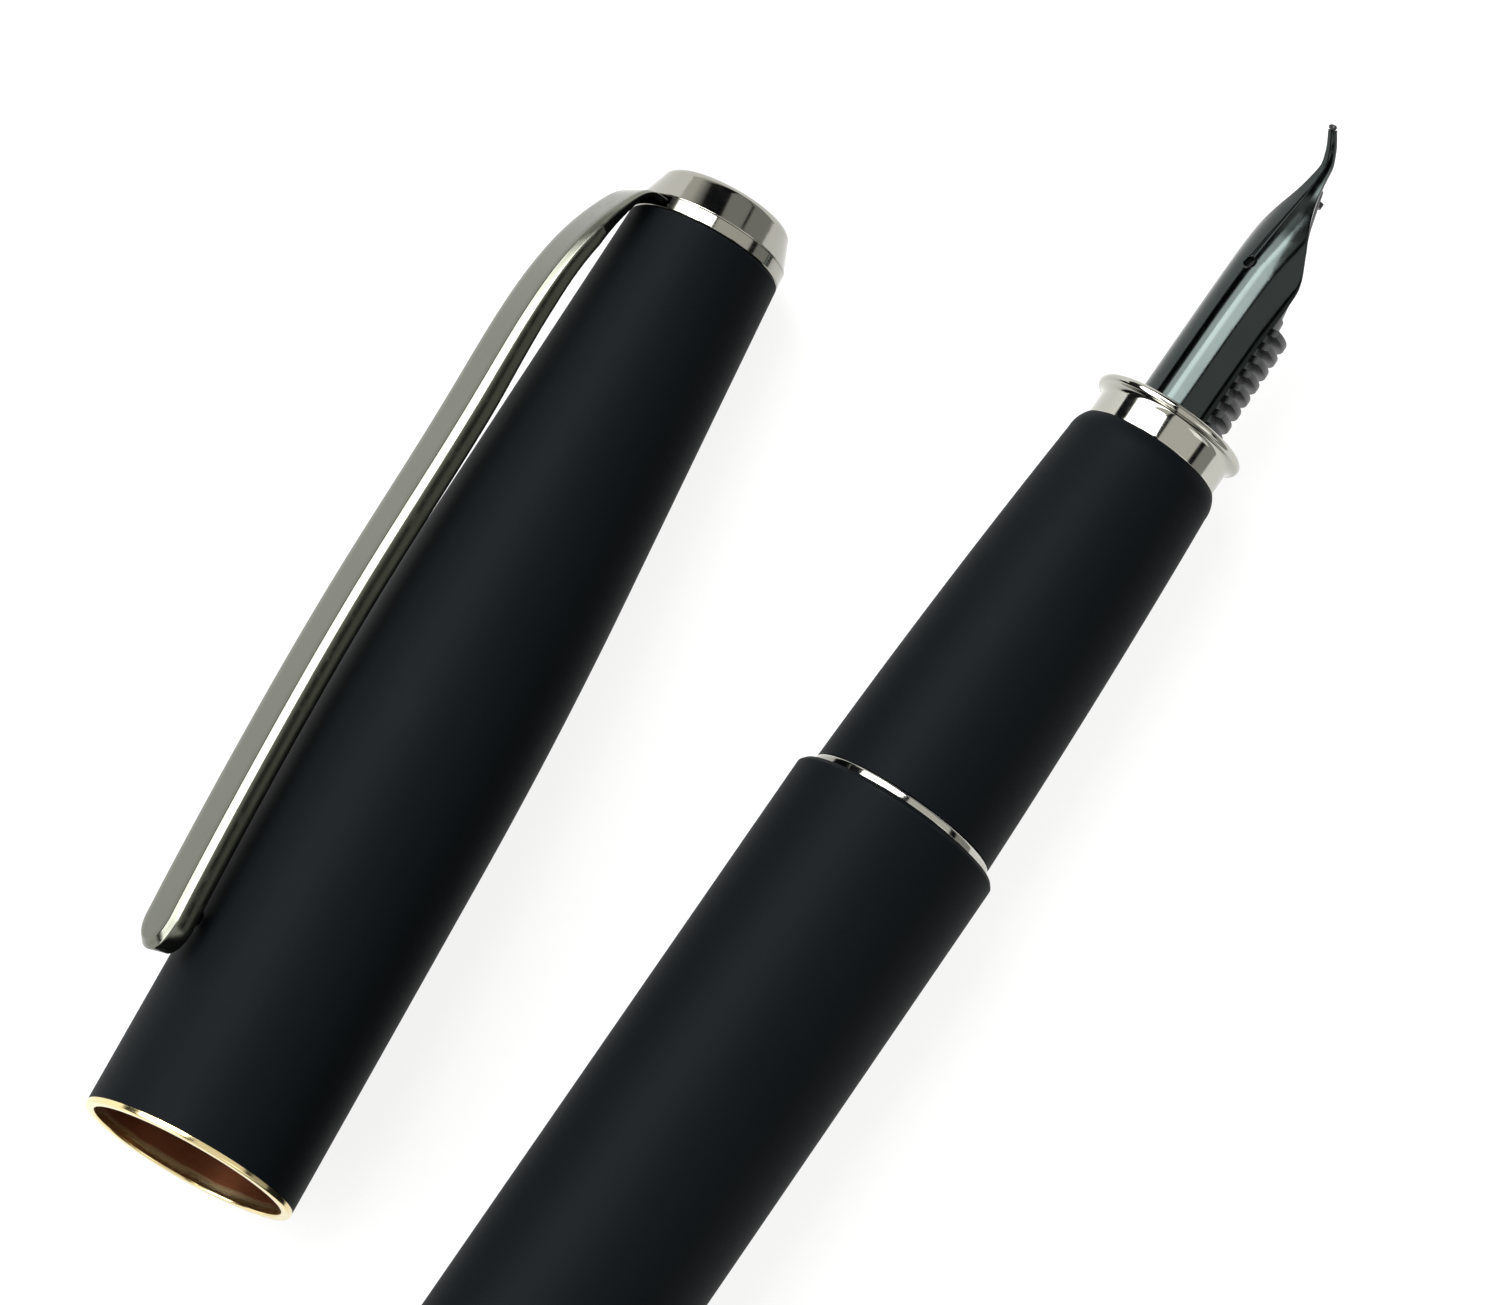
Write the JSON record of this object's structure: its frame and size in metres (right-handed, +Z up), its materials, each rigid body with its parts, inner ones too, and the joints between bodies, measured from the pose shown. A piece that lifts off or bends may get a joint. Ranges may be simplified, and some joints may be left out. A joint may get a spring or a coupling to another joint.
{
  "type": "fountain_pen",
  "caption": "Fountain pen with a matt black barrel and tapered grip, bent steel nib, comb feed and piston converter, lying beside its sprung-clip cap",
  "frame": {"origin": "centre of the bounding box's bottom face, on the plane that pen and cap lie on", "axes": "+Z up; the pen's axis runs along +Y towards the nib; the cap lies on the -X side with its mouth towards -Y"},
  "size_m": [0.0422, 0.1227, 0.0139],
  "materials": {
    "black_lacquer": "matt soft-touch lacquer",
    "gunmetal": "polished dark nickel",
    "nickel": "polished nickel",
    "brass": "turned brass",
    "steel": "plain steel",
    "nib_steel": "polished dark steel",
    "tipping": "ground hard alloy",
    "black_plastic": "moulded, satin",
    "clear_plastic": "clear",
    "grey_plastic": "moulded, smooth",
    "converter_metal": "polished",
    "rubber": "smooth"
  },
  "bodies": {
    "section": {"section_grip": "black_lacquer", "section_core": "black_plastic", "section_collar": "nickel", "section_seal": "rubber", "feed_housing": "black_plastic", "feed": "black_plastic", "nib": "nib_steel", "nib_tip": "tipping"},
    "ring": {"centre_ring": "nickel"},
    "barrel": {"barrel_tube": "black_lacquer", "barrel_thread_insert": "brass", "tail_button": "gunmetal", "tail_screw": "steel"},
    "converter": {"converter_nozzle": "grey_plastic", "converter_tube": "clear_plastic", "converter_collar": "converter_metal"},
    "knob": {"converter_knob": "black_plastic", "piston_nut": "brass"},
    "piston": {"piston_rod": "grey_plastic", "piston_seal": "rubber"},
    "cap": {"cap_tube": "black_lacquer", "cap_mouth_sleeve": "brass", "cap_clutch": "steel", "inner_cap": "black_plastic", "finial": "gunmetal", "finial_screw": "steel", "finial_nut": "brass", "clip_seat": "gunmetal", "clip_spring": "steel"},
    "clip": {"clip": "gunmetal"}
  },
  "joints": [
    {"name": "barrel_turn", "type": "hinge", "parent": "section", "child": "ring", "pos_m": [0.0146, 0.01415, 0.00655], "axis": [0, 1, 0], "range_deg": [0, 1800]},
    {"name": "barrel_pull", "type": "slide", "parent": "ring", "child": "barrel", "axis": [0, -1, 0], "range_m": [0, 0.075]},
    {"name": "converter_pull", "type": "slide", "parent": "section", "child": "converter", "axis": [0, -1, 0], "range_m": [0, 0.0063]},
    {"name": "knob_turn", "type": "hinge", "parent": "converter", "child": "knob", "pos_m": [0.0146, -0.03015, 0.00655], "axis": [0, 1, 0], "range_deg": [0, 4320.5]},
    {"name": "piston_slide", "type": "slide", "parent": "converter", "child": "piston", "axis": [0, -1, 0], "range_m": [0, 0.018]},
    {"name": "cap_slide", "type": "slide", "parent": "section", "child": "cap", "axis": [-0.0934, 0.9951, -0.0332], "range_m": [0, 0.048]},
    {"name": "clip_lift", "type": "hinge", "parent": "cap", "child": "clip", "pos_m": [-0.01644, 0.03496, 0.0069], "axis": [-0.3862, -0.0669, -0.92], "range_deg": [0, 3.5], "stiffness_Nm_per_rad": 0.8}
  ],
  "couplings": [
    {"joint": "knob_turn", "follows": "piston_slide", "rad_per_m": 4188.8}
  ]
}
